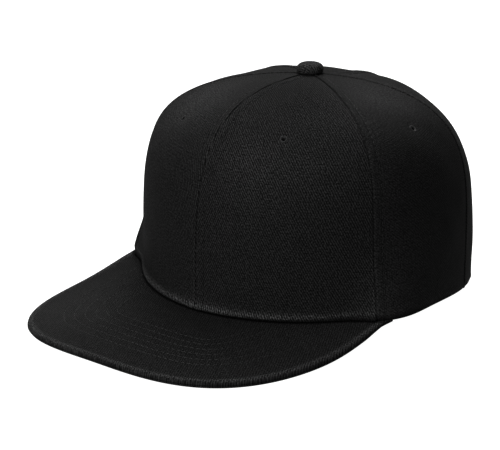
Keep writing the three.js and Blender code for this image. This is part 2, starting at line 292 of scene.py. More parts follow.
class Shader:
    """A material's node tree, built from expressions."""

    def __init__(self, name: str, settings: dict[str, object]) -> None:
        """Makes a material with one Principled shader whose fixed sockets are set.

        Args:
            name: Name of the material.
            settings: Values of the Principled shader's own sockets.
        """
        self.material = bpy.data.materials.new(name)
        self.material.use_nodes = True
        self.tree = self.material.node_tree
        self.surface = next(node for node in self.tree.nodes if node.type == "BSDF_PRINCIPLED")
        for socket, value in settings.items():
            self.surface.inputs[socket].default_value = value

    def node(self, kind: str, settings: dict[str, object], inputs: dict[object, object]) -> bpy.types.Node:
        """Adds a node.

        Args:
            kind: The node's type.
            settings: The node's own properties, which are set first.
            inputs: Values or links by socket name or number.

        Returns:
            The node.
        """
        node = self.tree.nodes.new(kind)
        for name, value in settings.items():
            setattr(node, name, value)
        for name, value in inputs.items():
            if isinstance(value, Value):
                self.tree.links.new(value.socket, node.inputs[name])
            else:
                node.inputs[name].default_value = value
        return node

    def layer_axes(self, layer: str = "cloth") -> tuple[Value, Value]:
        """The two numbers of a UV layer: for the cloth its position across and along, in millimetres.

        Args:
            layer: Name of the UV layer.

        Returns:
            Its first and its second number.
        """
        place = self.node("ShaderNodeUVMap", {"uv_map": layer}, {})
        split = self.node("ShaderNodeSeparateXYZ", {}, {0: Value(self, place.outputs[0])})
        return Value(self, split.outputs[0]), Value(self, split.outputs[1])

    def noise(self, across: Value, along: Value, per_mm: float, detail: float = 2.0) -> Value:
        """Smooth noise between 0 and 1 over the cloth, with per_mm blotches a millimetre.

        Args:
            across: Cloth position across, in millimetres.
            along: Cloth position along.
            per_mm: Blotches a millimetre.
            detail: Octaves of finer noise.

        Returns:
            The noise.
        """
        place = self.node("ShaderNodeCombineXYZ", {}, {0: across * per_mm, 1: along * per_mm})
        settings = {"Vector": Value(self, place.outputs[0]), "Scale": 1.0, "Detail": detail}
        node = self.node("ShaderNodeTexNoise", {"noise_dimensions": "2D"}, settings)
        return Value(self, node.outputs[0])

    def blend(self, dark: "tuple[float, ...] | Value", light: tuple[float, ...], share: Value) -> Value:
        """A colour between two colours."""
        node = self.node("ShaderNodeMix", {"data_type": "RGBA"}, {0: share, 6: dark, 7: light})
        return Value(self, node.outputs[2])

    def colour(self, value: Value) -> None:
        """Drives the base colour."""
        self.tree.links.new(value.socket, self.surface.inputs["Base Color"])

    def relief(self, height: Value, distance: float, strength: float) -> None:
        """Raises the surface's look by a height between 0 and 1 times a distance in metres."""
        bump = self.node("ShaderNodeBump", {}, {"Height": height, "Distance": distance, "Strength": strength})
        self.tree.links.new(bump.outputs[0], self.surface.inputs["Normal"])


def grey(value: float, cool: float = 0.0) -> tuple[float, float, float, float]:
    """A near-neutral colour, a little bluer by cool."""
    return (value, value, value * (1.0 + cool), 1.0)


class Lean(Enum):
    """How a twill's ribs lean, as the degrees from the cloth's length."""

    STEEP = 28.0
    FORWARD = 28.5
    DIAGONAL = 50.0
    CROSSWISE = 86.0


@dataclass(frozen=True)
class TwillFinish:
    """Matte black cotton twill: ribs that lean across the cloth, broken into floats of yarn."""

    name: str
    lean: Lean
    pitch: float = 1.13
    yarn: float = 1.5
    groove_tone: float = 0.002
    rib_tone: float = 0.0175
    # Colour of the painted highlight.
    painted_highlight_tone: float = 0.052
    rib_share: float = 1.0
    speckle: float = 0.8
    relief: float = 0.0003
    roughness: float = 0.75
    specular: float = 0.025

    def material(self) -> bpy.types.Material:
        """The finish as a material.

        The rib coordinate is the cloth position measured square to the ribs and divided by the pitch; a wave
        of it gives the ribs. Along each rib a second wave, moved on by half a step from rib to rib, breaks it
        into floats. Speckle at the size of a yarn and faint patches make both uneven. The mean of the blend
        between the two tones is kept at a little over a third, whatever the shares. The painted light and
        shade layer then draws the tone towards a painted highlight where it is above 0 and towards painted
        shade where it is below.

        Returns:
            The material.
        """
        shader = Shader(self.name, {"Roughness": self.roughness, "Specular IOR Level": self.specular})
        across, along = shader.layer_axes()
        turn = math.radians(self.lean.value)
        wobble = shader.noise(across, along, 0.3) * 0.3
        rib_place = (across * math.cos(turn) + along * math.sin(turn)) * (1.0 / self.pitch) + wobble
        float_place = (along * math.cos(turn) - across * math.sin(turn)) * (1.0 / self.yarn)
        rib = rib_place.wave()
        floats = (float_place + rib_place.floor() * 0.5).wave()
        speck = shader.noise(across, along, 1.1, 3.0) * 2.0 - 0.5
        patch = shader.noise(across, along, 0.16)
        weave = rib * (floats * 0.4 + 0.6)
        height = weave * 0.75 + speck * 0.3
        middle = 0.4 * self.rib_share + 0.5 * self.speckle + 0.1
        lit = (weave * self.rib_share + speck * self.speckle + patch * 0.2 + (0.45 - middle)) ** 1.4
        fresh = shader.blend(grey(self.groove_tone), grey(self.rib_tone), lit)
        # Painted highlight: above 0 the painted light and shade layer draws the lit rib tone towards a light
        # tone.
        painted_light_and_shade, _ = shader.layer_axes("painted_light_and_shade")
        painted_tone = shader.blend(fresh, grey(self.painted_highlight_tone), painted_light_and_shade * lit)
        # Painted shade: below 0 the layer draws the tone towards near black.
        shader.colour(shader.blend(painted_tone, grey(0.0003), painted_light_and_shade * -1.0))
        shader.relief(height, self.relief, 0.8)
        return shader.material


@dataclass(frozen=True)
class ThreadFinish:
    """Black polyester sewing thread, a little brighter and smoother than the cloth."""

    name: str
    tone: float = 0.009

    def material(self) -> bpy.types.Material:
        """The finish as a material."""
        settings = {"Base Color": grey(self.tone), "Roughness": 0.6, "Specular IOR Level": 0.15}
        return Shader(self.name, settings).material


@dataclass(frozen=True)
class MouldedFinish:
    """Satin black moulded plastic."""

    name: str
    tone: float = 0.016

    def material(self) -> bpy.types.Material:
        """The finish as a material, with faint long-wave unevenness in the moulding.

        Returns:
            The material.
        """
        shader = Shader(self.name, {
            "Base Color": grey(self.tone),
            "Roughness": 0.42,
            "Specular IOR Level": 0.45,
        })
        across, along = shader.layer_axes()
        shader.relief(shader.noise(across, along, 0.5), 0.0001, 0.4)
        return shader.material


# Placement and pieces


@dataclass(frozen=True)
class Placement:
    """The shift from the maker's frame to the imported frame, in millimetres."""

    along: float
    up: float

    @staticmethod
    def from_button(form: "CrownForm", button: "Button") -> "Placement":
        """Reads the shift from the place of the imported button.

        Args:
            form: The crown's form.
            button: The button.

        Returns:
            The shift.
        """
        low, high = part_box("button")
        along = (low[1] + high[1]) / 2.0 / MM - form.apex_shift
        return Placement(along, high[2] / MM - form.height - button.seat - button.height)

    def metres(self, points: np.ndarray) -> np.ndarray:
        """Points in the maker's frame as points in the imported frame, in metres."""
        return (points + np.array([0.0, self.along, self.up])) * MM

    def make(self, name: str, shell: Shell, material: bpy.types.Material,
             crease: float = 40.0) -> bpy.types.Object:
        """Makes a piece that rides on the cap.

        Args:
            name: Name of the piece.
            shell: Its shape in the maker's frame.
            material: Its finish.
            crease: Angle in degrees past which an edge stays sharp.

        Returns:
            The object, at the origin.
        """
        mesh = bpy.data.meshes.new(name)
        faces = shell.quads.tolist() + shell.triangles.tolist()
        mesh.from_pydata(self.metres(shell.points), [], faces)
        corners = np.empty(len(mesh.loops), dtype=np.int32)
        mesh.loops.foreach_get("vertex_index", corners)
        values = np.zeros((len(shell.cloth), 4), dtype=np.float32)
        values[:, : shell.cloth.shape[1]] = shell.cloth
        # The second UV layer carries painted light and shade: a painted highlight above 0, painted shade
        # below.
        for layer, columns in (("cloth", values[:, :2]), ("painted_light_and_shade", values[:, 2:])):
            mesh.uv_layers.new(name=layer).data.foreach_set("uv", columns[corners].ravel())
        mesh.shade_smooth()
        mesh.set_sharp_from_angle(angle=math.radians(crease))
        mesh.materials.append(material)
        piece = bpy.data.objects.new(name, mesh)
        bpy.context.scene.collection.objects.link(piece)
        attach(piece, "root")
        LOG.info("%s: %d faces", name, len(faces))
        return piece

    def cut(self, piece: bpy.types.Object, cutters: list[Shell], crease: float = 40.0) -> None:
        """Cuts closed shells out of a piece and keeps the result as its mesh.

        Args:
            piece: The piece.
            cutters: Closed shells in the maker's frame.
            crease: Angle in degrees past which an edge stays sharp.
        """
        mesh = bpy.data.meshes.new("cutter")
        cutter_shell = Shell.joined(cutters)
        faces = cutter_shell.quads.tolist() + cutter_shell.triangles.tolist()
        mesh.from_pydata(self.metres(cutter_shell.points), [], faces)
        cutter = bpy.data.objects.new("cutter", mesh)
        bpy.context.scene.collection.objects.link(cutter)
        modifier = piece.modifiers.new("cut", "BOOLEAN")
        modifier.operation = "DIFFERENCE"
        modifier.solver = "MANIFOLD"
        modifier.object = cutter
        graph = bpy.context.evaluated_depsgraph_get()
        result = bpy.data.meshes.new_from_object(piece.evaluated_get(graph))
        piece.modifiers.clear()
        bpy.data.objects.remove(cutter)
        old = piece.data
        piece.data = result
        bpy.data.meshes.remove(old)
        result.name = piece.name
        result.set_sharp_from_angle(angle=math.radians(crease))


# The crown's form


@dataclass(frozen=True)
class CrownForm:
    """The crown's outer surface over an angle round it and a share of the way up.

    Angles are degrees: -90 is the front, 0 the wearer's left, 90 the back. Blended values are given for the
    front, the side and the back.
    """

    half_width: float = 87.0
    front_reach: float = 80.6
    back_reach: float = 108.5
    height: float = 106.3
    apex_shift: float = 8.7
    wall: float = 1.8
    top_hole: float = 2.9
    flare: float = 0.118
    flare_height: float = 21.0
    flare_front: float = 9.0
    flare_back: float = 17.5
    faceting: float = 0.73
    rim_power: float = 1.89
    peak_end: float = -22.5
    rest_depth: float = 9.2
    dip: float = 4.2
    dip_place: float = 0.33
    dip_power: float = 5.0
    shoulder: tuple[float, float, float] = (2.93, 1.95, 3.96)
    upright: tuple[float, float, float] = (4.07, 6.19, 1.4)
    rim_at: tuple[float, ...] = (-1.0, -0.45, 0.37, 0.86, 1.0)
    rim_share: tuple[float, ...] = (0.0, 0.24, -0.31, -1.0, -1.0)
    rim_slope: tuple[float, ...] = (0.16, 0.54, -1.3, 0.0, 0.0)
    seams: tuple[float, ...] = (-90.0, -26.8, 21.9, 90.0, 158.1, 206.8, 270.0)

    def blended(self, values: tuple[float, float, float], angle: np.ndarray) -> np.ndarray:
        """A parabola in s, the sine of the angle, through the values of the front, the side and the back.

        Args:
            values: At the front, the side and the back.
            angle: Angles in degrees.

        Returns:
            A value for each angle.
        """
        front, side, back = values
        s = np.sin(np.radians(angle))
        return side + (back - front) / 2.0 * s + ((back + front) / 2.0 - side) * s * s

    def rim_height(self, angle: np.ndarray) -> np.ndarray:
        """Rim height by a Hermite cubic between the rows of the rim table, at the sine of the angle.

        Args:
            angle: Angles in degrees.

        Returns:
            Heights in millimetres.
        """
        s = np.sin(np.radians(angle))
        at, share, slope = (np.array(row) for row in (self.rim_at, self.rim_share, self.rim_slope))
        high = np.clip(np.searchsorted(at, s - 1e-9), 1, len(at) - 1)
        low = high - 1
        span = at[high] - at[low]
        t = (s - at[low]) / span
        ease = t * t * (3.0 - 2.0 * t)
        leaving = t * (1.0 - t) ** 2 * span * slope[low]
        arriving = t * t * (t - 1.0) * span * slope[high]
        return self.rest_depth * (share[low] + (share[high] - share[low]) * ease + leaving + arriving)

    def chord_share(self, angle: np.ndarray) -> np.ndarray:
        """How far a straight chord between a panel's seams lies inside the round form.

        Args:
            angle: Angles in degrees.

        Returns:
            The chord's distance from the axis as a share of the round form's.
        """
        seams = np.array(self.seams)
        high = np.clip(np.searchsorted(seams, angle), 1, len(seams) - 1)
        middle = (seams[high] + seams[high - 1]) / 2.0
        half = (seams[high] - seams[high - 1]) / 2.0
        return np.cos(np.radians(half)) / np.cos(np.radians(angle - middle))

    def point(self, angle: np.ndarray, share: np.ndarray) -> np.ndarray:
        """A superellipse rim drawn in towards the top by a squarish profile.

        The profile is inward = cos(turn)^(2/shoulder) and upward = sin(turn)^(2/upright) of a quarter turn.
        Facets pull each panel towards its chord near the top, a flare pushes the rim out at the peak's ends,
        and the slack top dips behind the button by q exp(1 - q), q the squared inward over its place, faded
        to nothing at the rim.

        Args:
            angle: Angles in degrees.
            share: Share of the way up, of the same shape.

        Returns:
            Points in millimetres.
        """
        turn = share * math.pi / 2.0
        inward = np.maximum(np.cos(turn), 0.0) ** (2.0 / self.blended(self.shoulder, angle))
        upward = np.maximum(np.sin(turn), 0.0) ** (2.0 / self.blended(self.upright, angle))
        base = self.rim_height(angle)
        across, along = np.cos(np.radians(angle)), np.sin(np.radians(angle))
        place = (inward / self.dip_place) ** 2
        sink = place * np.exp(1.0 - place) * (1.0 - inward) / (1.0 - self.dip_place)
        behind = np.maximum(along, 0.0) ** self.dip_power
        height = base + (self.height - base) * upward - self.dip * behind * sink
        power = self.rim_power
        corner = (np.abs(across) ** power + np.abs(along) ** power) ** (-1.0 / power)
        facet = 1.0 + self.faceting * (1.0 - inward**2) * (self.chord_share(angle) - 1.0)
        past_end = np.where(angle <= 90.0, angle, 180.0 - angle) - self.peak_end
        reach_of_flare = np.where(past_end < 0.0, self.flare_front, self.flare_back)
        flare = 1.0 + self.flare * bell(past_end, reach_of_flare) * bell(height, self.flare_height)
        spread = corner * inward * facet * flare
        reach = np.where(along < 0.0, self.front_reach, self.back_reach)
        x = self.half_width * across * spread
        y = self.apex_shift * (1.0 - inward) + reach * along * spread
        return np.stack(np.broadcast_arrays(x, y, height), axis=-1)

    def normal(self, angle: np.ndarray, share: np.ndarray, level: np.ndarray | float = 0.0) -> np.ndarray:
        """Outward normal from central differences. level 1 turns it level.

        Args:
            angle: Angles in degrees.
            share: Share of the way up.
            level: How far the normal is turned level, from 0 to 1.

        Returns:
            Unit normals.
        """
        angle, share = np.broadcast_arrays(angle, share)
        before, after = np.maximum(angle - 0.4, -90.0), np.minimum(angle + 0.4, 270.0)
        below, above = np.maximum(share - 0.002, 0.0), np.minimum(share + 0.002, 1.0)
        side = self.point(after, share) - self.point(before, share)
        rise = self.point(angle, above) - self.point(angle, below)
        normal = unit(np.cross(side, rise))
        normal[..., 2] *= 1.0 - np.asarray(level)
        return unit(normal)

    def share_at_height(self, angle: np.ndarray, height: np.ndarray) -> np.ndarray:
        """The way up at which the surface reaches a height: the profile's upward part solved for the turn.

        Args:
            angle: Angles in degrees.
            height: Heights in millimetres.

        Returns:
            Share of the way up for each angle.
        """
        base = self.rim_height(angle)
        part = np.clip((height - base) / (self.height - base), 0.0, 1.0)
        return np.arcsin(part ** (self.blended(self.upright, angle) / 2.0)) * 2.0 / math.pi

    def share_at_top_hole(self, angle: np.ndarray) -> np.ndarray:
        """The way up at which the hole for the button's shank starts.

        Args:
            angle: Angles in degrees.

        Returns:
            Share of the way up for each angle.
        """
        edge = self.point(angle, np.zeros_like(angle))
        inward = self.top_hole / np.hypot(edge[..., 0], edge[..., 1])
        return np.arccos(inward ** (self.blended(self.shoulder, angle) / 2.0)) * 2.0 / math.pi


# Sewing and painted light patches


@dataclass(frozen=True)
class PaintedLightPatch:
    """A soft-edged round patch of painted light that makes the cloth look lighter, of painted shade below 0.
    """

    centre: tuple[float, float, float]
    reach: float
    amount: float

    @staticmethod
    def total(patches: "tuple[PaintedLightPatch, ...]", points: np.ndarray) -> np.ndarray:
        """The amounts of all patches at some points, each faded by a bell as wide as its reach."""
        away = [np.linalg.norm(points - np.array(patch.centre), axis=-1) for patch in patches]
        return sum(patch.amount * bell(far, patch.reach) for patch, far in zip(patches, away))


@dataclass(frozen=True)
class Stitching:
    """Rows of lockstitch, each stitch a short thread that arches out of the cloth and back in."""

    length: float = 2.35
    gap: float = 0.75
    thread: float = 0.2
    arch: float = 0.2
    rings: int = 5
    sides: int = 6

    def stitches(self, centres: np.ndarray, ahead: np.ndarray, out: np.ndarray) -> Shell:
        """One closed thread for each centre.

        A thread's axis runs the stitch's length and rises by the arch at its middle, as 1 - s^2. Its radius
        is the thread times the root of 1 - s^4, which rounds the ends.

        Args:
            centres: Stitch centres on the cloth.
            ahead: Unit direction of each stitch.
            out: Unit outward normal at each stitch.

        Returns:
            All the threads as one shell.
        """
        side = unit(np.cross(out, ahead))
        out = np.cross(ahead, side)
        s = np.linspace(-0.97, 0.97, self.rings)
        turn = np.arange(self.sides) * 2.0 * math.pi / self.sides
        radius = self.thread * (1.0 - s**4) ** 0.5
        lift = self.arch * (1.0 - s**2) - self.arch * 0.35
        along = np.broadcast_to((s * self.length / 2.0)[:, None], (self.rings, self.sides))
        rise = lift[:, None] + radius[:, None] * np.sin(turn)
        sway = radius[:, None] * np.cos(turn)
        frame = [ahead[:, None, None, :] * along[None, :, :, None]]
        frame += [out[:, None, None, :] * rise[None, :, :, None]]
        frame += [side[:, None, None, :] * sway[None, :, :, None]]
        points = centres[:, None, None, :] + sum(frame)
        ring = np.stack([along, sway], axis=-1)
        template = closed_tube(points[0][:, ::-1], ring)
        count = self.rings * self.sides
        ends = points[:, [0, -1]].mean(axis=2)
        body = points[:, :, ::-1].reshape(len(centres), count, 3)
        everything = np.concatenate([body, ends], axis=1)
        start = np.arange(len(centres))[:, None, None] * (count + 2)
        return Shell(
            everything.reshape(-1, 3),
            (template.quads[None] + start).reshape(-1, 4),
            np.tile(template.cloth, (len(centres), 1)),
            (template.triangles[None] + start).reshape(-1, 3),
        )

    def row(self, path: np.ndarray, normals: np.ndarray) -> Shell:
        """Stitches spaced evenly along a path on the cloth.

        Args:
            path: Points along the row.
            normals: Outward normal at each point.

        Returns:
            The row's threads.
        """
        reached = lengths_along(path, 0)
        count = max(int(reached[-1] / (self.length + self.gap)), 1)
        middles = (np.arange(count) + 0.5) * reached[-1] / count
        centres = read_along(path, reached, middles)
        ahead = unit(read_along(path, reached, middles + 0.5) - read_along(path, reached, middles - 0.5))
        return self.stitches(centres, ahead, unit(read_along(normals, reached, middles)))

    def ring(self, centre: np.ndarray, out: np.ndarray, inner: float, outer: float, count: int) -> Shell:
        """Stitches that radiate round a hole, from an inner to an outer radius.

        Args:
            centre: The hole's middle.
            out: Outward normal there.
            inner: Where the threads start.
            outer: Where the threads end.
            count: Number of threads.

        Returns:
            The threads.
        """
        side = unit(np.cross(out, np.array([0.0, 0.0, 1.0])))
        up = np.cross(side, out)
        turn = np.arange(count) * 2.0 * math.pi / count
        ahead = side * np.cos(turn)[:, None] + up * np.sin(turn)[:, None]
        centres = centre + ahead * (inner + outer) / 2.0
        return self.stitches(centres, ahead, np.broadcast_to(out, ahead.shape))


@dataclass(frozen=True)
class Eyelet:
    """A small hole bound with thread, at an angle and a share of the way up its panel."""

    angle: float
    share: float
    hole: float = 0.95
    bound: float = 2.4
    threads: int = 26
    binding_thread: float = 0.24
    binding_arch: float = 0.3
    sides: int = 20
    bar: float = 8.0

    def mirrored(self) -> "Eyelet":
        """The same eyelet in the other half of the cap."""
        return Eyelet(180.0 - self.angle, self.share)

    def place(self, form: CrownForm) -> tuple[np.ndarray, np.ndarray]:
        """Its centre on the crown and the outward normal there."""
        at = np.array([self.angle]), np.array([self.share])
        return form.point(*at)[0], form.normal(*at)[0]

    def cutter(self, form: CrownForm) -> Shell:
        """A round bar through the wall.

        Args:
            form: The crown's form.

        Returns:
            The bar.
        """
        centre, out = self.place(form)
        side = unit(np.cross(out, np.array([0.0, 0.0, 1.0])))
        up = np.cross(out, side)
        turn = np.arange(self.sides) * 2.0 * math.pi / self.sides
        ring = side * np.cos(turn)[:, None] + up * np.sin(turn)[:, None]
        depth = np.array([-self.bar, self.bar])[:, None, None]
        rings = centre + ring[None] * self.hole + out * depth
        return closed_tube(rings, np.zeros((2, self.sides, 2)))

    def binding(self, form: CrownForm, depth: float) -> Shell:
        """The thread round its hole.

        Args:
            form: The crown's form.
            depth: How deep the dimple is there.

        Returns:
            The threads.
        """
        centre, out = self.place(form)
        length = self.bound - self.hole + 0.2
        sewing = Stitching(length=length, thread=self.binding_thread, arch=self.binding_arch)
        return sewing.ring(centre - out * depth, out, self.hole, self.bound, self.threads)


# The crown


@dataclass
class Panel:
    """One crown panel: a wall between two seams, with rolled edges and the marks that sewing leaves."""

    name: str
    start: float
    end: float
    form: CrownForm
    eyelet: Eyelet
    stitched_start: bool
    stitched_end: bool
    lip: float
    # Painted highlight in a band above the rolled lower edge.
    lip_highlight: float
    slack: float
    columns: int = 96
    crowding: float = 0.84
    fine_rows: int = 14
    coarse_step: float = 1.15
    # Patches of painted light, and of painted shade where the amount is below 0.
    painted_light_patches: tuple[PaintedLightPatch, ...] = ()
    start_shift: float = 0.0
    end_shift: float = 0.0
    shift_height: float = 16.0
    # Painted highlight at the foot of each seam.
    foot_highlight: float = 0.22
    seam_lightening: float = 0.1
    # Painted shade at the very lower edge, where the cloth rolls under.
    rim_shade: float = 0.9
    seam_gap: float = -0.12
    seam_depth: float = 0.5
    pucker: float = 0.15
    lap: float = 0.38
    stitch_groove: float = 0.22
    stitch_inset: float = 4.7
    lip_height: float = 3.0
    roll: float = 0.9
    rolled: float = 4.5
    dimple: float = 0.45
    dimple_reach: float = 3.6

    def __post_init__(self) -> None:
        """Works out the grid that everything else reads.

        Columns crowd towards both seams, as u less a share of sin(2 pi u) / 2 pi. Either seam may swing aside
        towards the rim, by its shift in degrees times a bell of the height.
        """
        rows = self.row_parts()
        u = np.linspace(0.0, 1.0, self.columns + 1)
        across = u - self.crowding * np.sin(2.0 * math.pi * u) / (2.0 * math.pi)
        angle = np.broadcast_to(self.start + (self.end - self.start) * across, (len(rows), len(u)))
        share = rows[:, None] * self.form.share_at_top_hole(angle)
        plain = self.form.point(angle, share)
        width = lengths_along(plain, 1)[:, -1:]
        inset = (self.end - self.start) * self.seam_gap / width
        low = bell(plain[..., 2] - self.form.rim_height(angle), self.shift_height)
        self.shift = low * (self.end_shift * across**2 + self.start_shift * (1.0 - across) ** 2)
        self.angle = self.start + inset + (self.end - self.start - 2.0 * inset) * across + self.shift
        self.share = rows[:, None] * self.form.share_at_top_hole(self.angle)
        self.plain = self.form.point(self.angle, self.share)
        self.out = self.form.normal(self.angle, self.share)
        self.from_start = lengths_along(self.plain, 1)
        self.from_end = self.from_start[:, -1:] - self.from_start
        self.up = lengths_along(self.plain, 0)
        self.outer = self.plain + self.out * self.relief()[..., None]
        self.painted_light_and_shade = self.tones()

    def tones(self) -> np.ndarray:
        """Where light and shade are painted into the cloth's tone.

        A painted highlight lies in a narrow band above the rolled edge and more faintly at the foot of each
        seam;
        the cloth is a little lighter just beside each seam; painted shade lies at the very edge, where the
        cloth rolls under; the patches of painted light and shade add to both.

        Returns:
            A tone for each point of the grid.
        """
        near = np.minimum(self.from_start, self.from_end)
        # Painted highlight above the rolled edge and at the seam feet, painted shade at the very edge.
        foot = self.foot_highlight * bell(self.up, 11.0) * bell(near, 13.0)
        painted_tone = self.lip_highlight * (bell(self.up - 2.3, 1.15) + foot)
        painted_tone = painted_tone + self.seam_lightening * bell(near - 1.0, 0.6) - self.rim_shade * bell(self.up, 0.75)
        return painted_tone + PaintedLightPatch.total(self.painted_light_patches, self.plain)

    def row_parts(self) -> np.ndarray:
        """Row places from rim to top hole: fine steps over the rolled lower edge, then even ones.

        Returns:
            Shares of the way from the rim to the top hole.
        """
        middle = np.full(401, (self.start + self.end) / 2.0)
        parts = np.linspace(0.0, 1.0, 401)
        line = self.form.point(middle, parts * self.form.share_at_top_hole(middle))
        reached = lengths_along(line, 0)
        fine = self.rolled * np.linspace(0.0, 1.0, self.fine_rows, endpoint=False) ** 1.5
        coarse = np.linspace(self.rolled, reached[-1], int(reached[-1] / self.coarse_step))
        return np.interp(np.concatenate([fine, coarse]), reached, parts)

    def seam_marks(self, distance: np.ndarray, stitched: bool) -> np.ndarray:
        """Height across a seam: a deep roll into it, a raised lap, and a groove under the topstitch.

        The roll is a narrow bell that puckers once a stitch; the lap is a plateau out to the stitch line;
        the groove is a bell on that line.

        Args:
            distance: Distance from the seam in millimetres.
            stitched: Whether this side of the seam is topstitched.

        Returns:
            Heights in millimetres.
        """
        stitch = Stitching.length + Stitching.gap
        pucker = 1.0 + self.pucker * np.cos(self.up * 2.0 * math.pi / stitch)
        marks = -self.seam_depth * bell(distance, 0.42) * pucker
        if stitched:
            narrow = np.minimum(self.stitch_inset, self.from_start[:, -1:] * 0.3)
            lap = smooth_step(distance, 0.2, 1.0) * (1.0 - smooth_step(distance, narrow - 0.6, narrow + 0.5))
            marks = marks + self.lap * lap - self.stitch_groove * bell(distance - narrow, 0.55)
        return marks

    def relief(self) -> np.ndarray:
        """Outward height of the cloth over the crown's form.

        It adds the marks of both seams, the lip where the lower edge is pushed out and rolls under, a dimple
        round the eyelet, and slow waves of slack cloth that fade at the seams.

        Returns:
            Heights in millimetres.
        """
        height = self.seam_marks(self.from_start, self.stitched_start)
        height = height + self.seam_marks(self.from_end, self.stitched_end)
        under = np.clip(1.0 - self.up / self.roll, 0.0, 1.0) ** 2
        height = height + self.lip * bell(self.up, self.lip_height) - self.roll * under
        centre, _ = self.eyelet.place(self.form)
        height = height - self.dimple * bell(np.linalg.norm(self.plain - centre, axis=-1), self.dimple_reach)
        x, y, z = np.moveaxis(self.plain, -1, 0)
        waves = np.sin(0.11 * x + 0.07 * z + 1.3) * np.sin(0.09 * z - 0.05 * y + 0.4)
        waves = waves + 0.6 * np.sin(0.17 * y + 0.1 * z + 2.0) * np.sin(0.13 * x - 0.08 * z)
        free = np.minimum(smooth_step(self.from_start, 1.0, 16.0), smooth_step(self.from_end, 1.0, 16.0))
        return height + self.slack * waves * free * smooth_step(self.up, 3.0, 20.0)

    def shell(self) -> Shell:
        """The panel's wall, its inner face one wall inside and level at the rim.

        Returns:
            The closed wall.
        """
        even = self.angle - self.shift
        part = (even - even[:, :1]) / (even[:, -1:] - even[:, :1])
        seam = self.start + (self.end - self.start) * part + self.shift
        share = self.share / self.form.share_at_top_hole(self.angle) * self.form.share_at_top_hole(seam)
        height = self.plain[..., 2] - self.form.rim_height(self.angle)
        level = np.clip(1.0 - height / self.form.flare_height, 0.0, 1.0)
        inner = self.plain - self.form.wall * self.form.normal(seam, share, level)
        middle = self.from_start[:, -1:] / 2.0
        cloth = np.stack([self.from_start - middle, self.up, self.painted_light_and_shade], axis=-1)
        return closed_sheet(self.outer, inner, cloth)

    def topstitches(self, sewing: Stitching, low: float, high: float) -> list[Shell]:
        """Stitch rows beside its stitched seams, between two distances up the panel.

        Args:
            sewing: The stitching.
            low: Distance left free at the rim.
            high: Distance left free at the top.

        Returns:
            One shell for each row.
        """
        rows = []
        for table, stitched, flip in (
            (self.from_start, self.stitched_start, False),
            (self.from_end, self.stitched_end, True),
        ):
            if not stitched:
                continue
            rising = table[:, ::-1] if flip else table
            outer = self.outer[:, ::-1] if flip else self.outer
            out = self.out[:, ::-1] if flip else self.out
            inset = np.minimum(self.stitch_inset, self.from_start[:, -1] * 0.3)
            column, _ = crossing(rising / inset[:, None], 1.0)
            reached = self.up[:, self.columns // 2]
            kept = (reached > low) & (reached < reached[-1] - high)
            rows.append(sewing.row(sampled(outer, column)[kept], sampled(out, column)[kept]))
        return rows


